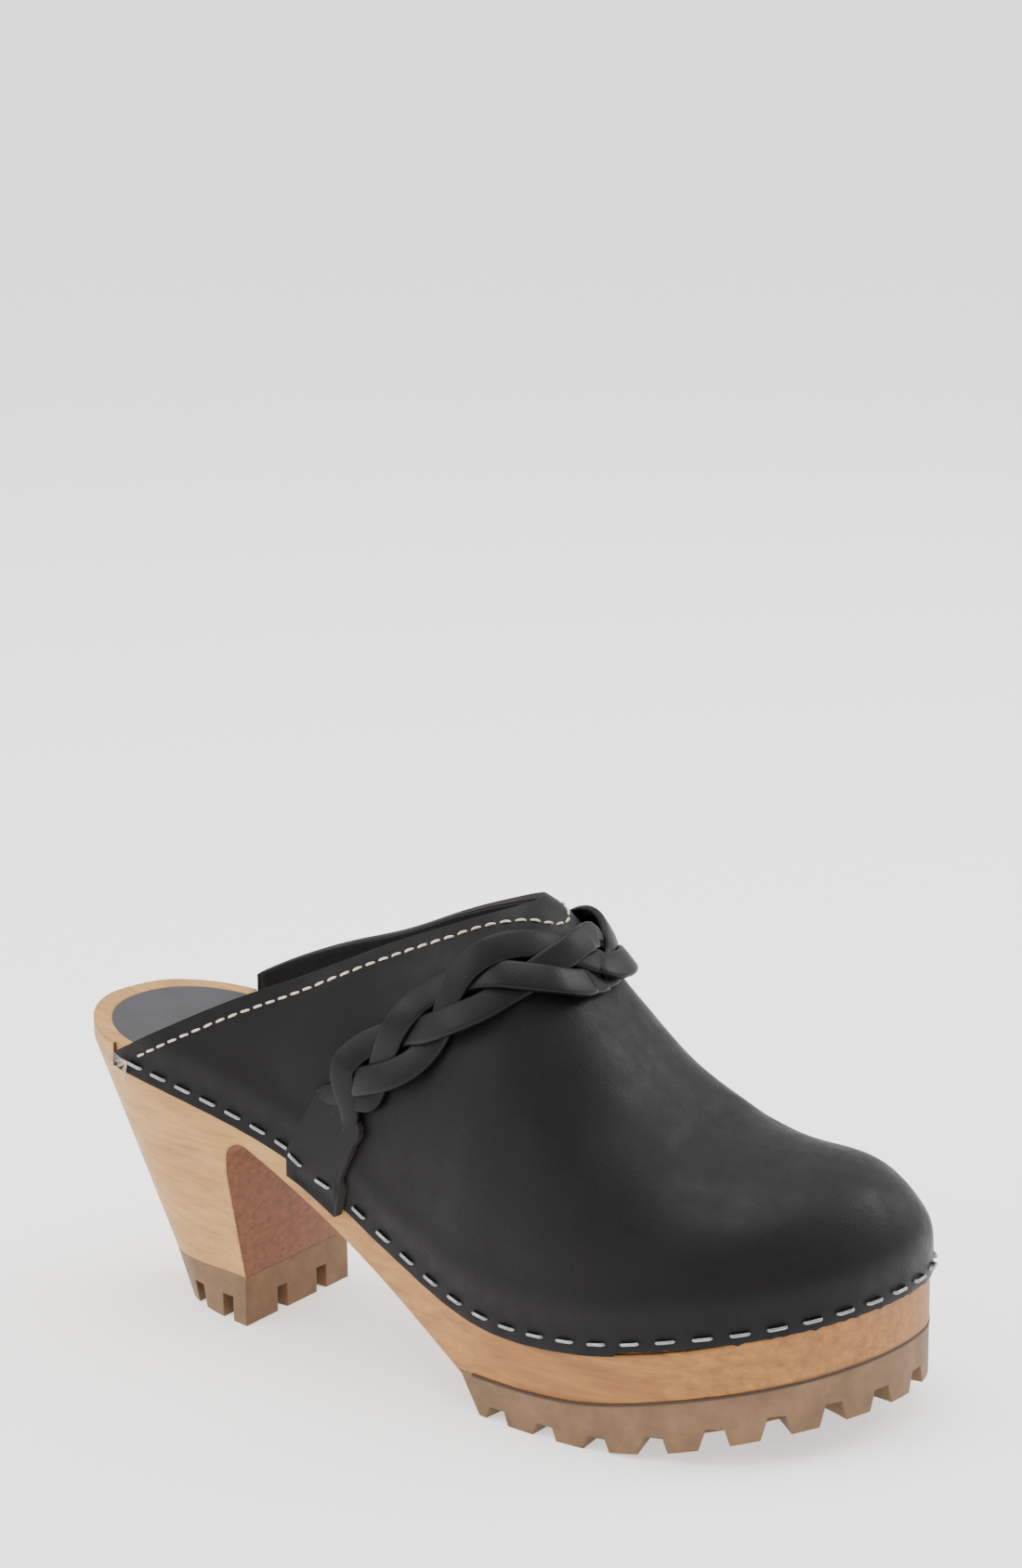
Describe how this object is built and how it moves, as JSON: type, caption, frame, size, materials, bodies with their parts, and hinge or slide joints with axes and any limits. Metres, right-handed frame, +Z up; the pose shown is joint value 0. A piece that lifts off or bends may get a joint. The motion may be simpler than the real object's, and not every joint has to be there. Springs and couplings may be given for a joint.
{
  "type": "wooden clog",
  "caption": "Heeled slip-on clog: carved wooden base, lugged rubber treads, and a stapled leather upper with a plaited strap over the instep; right foot.",
  "frame": {"origin": "on the ground under the middle of the clog's whole box", "axes": "+X towards the toe, +Y to the medial (inner) side, +Z up"},
  "size_m": [0.2444, 0.0932, 0.1265],
  "materials": {
    "wood": "sanded and waxed alder",
    "rubber": "moulded brown gum rubber",
    "upper": "smooth black oiled leather",
    "strap": "smooth black leather with raw cut edges",
    "lining": "napped black lining",
    "stiffener": "hidden thermoplastic toe puff",
    "pad": "dark grey synthetic leather",
    "steel": "zinc coated wire",
    "thread": "waxed off-white thread"
  },
  "bodies": {
    "root": {"wood_base": "wood", "forefoot_outsole": "rubber", "heel_lift": "rubber", "heel_nails": "steel", "heel_pad": "pad", "upper_leather": "upper", "topline_lining": "lining", "toe_stiffener": "stiffener", "strap_tab_lateral": "strap", "strap_tab_medial": "strap", "braid_strand_1": "strap", "braid_strand_2": "strap", "braid_strand_3": "strap", "rim_staples": "steel", "strap_staples": "steel", "topline_stitching": "thread"}
  },
  "joints": []
}
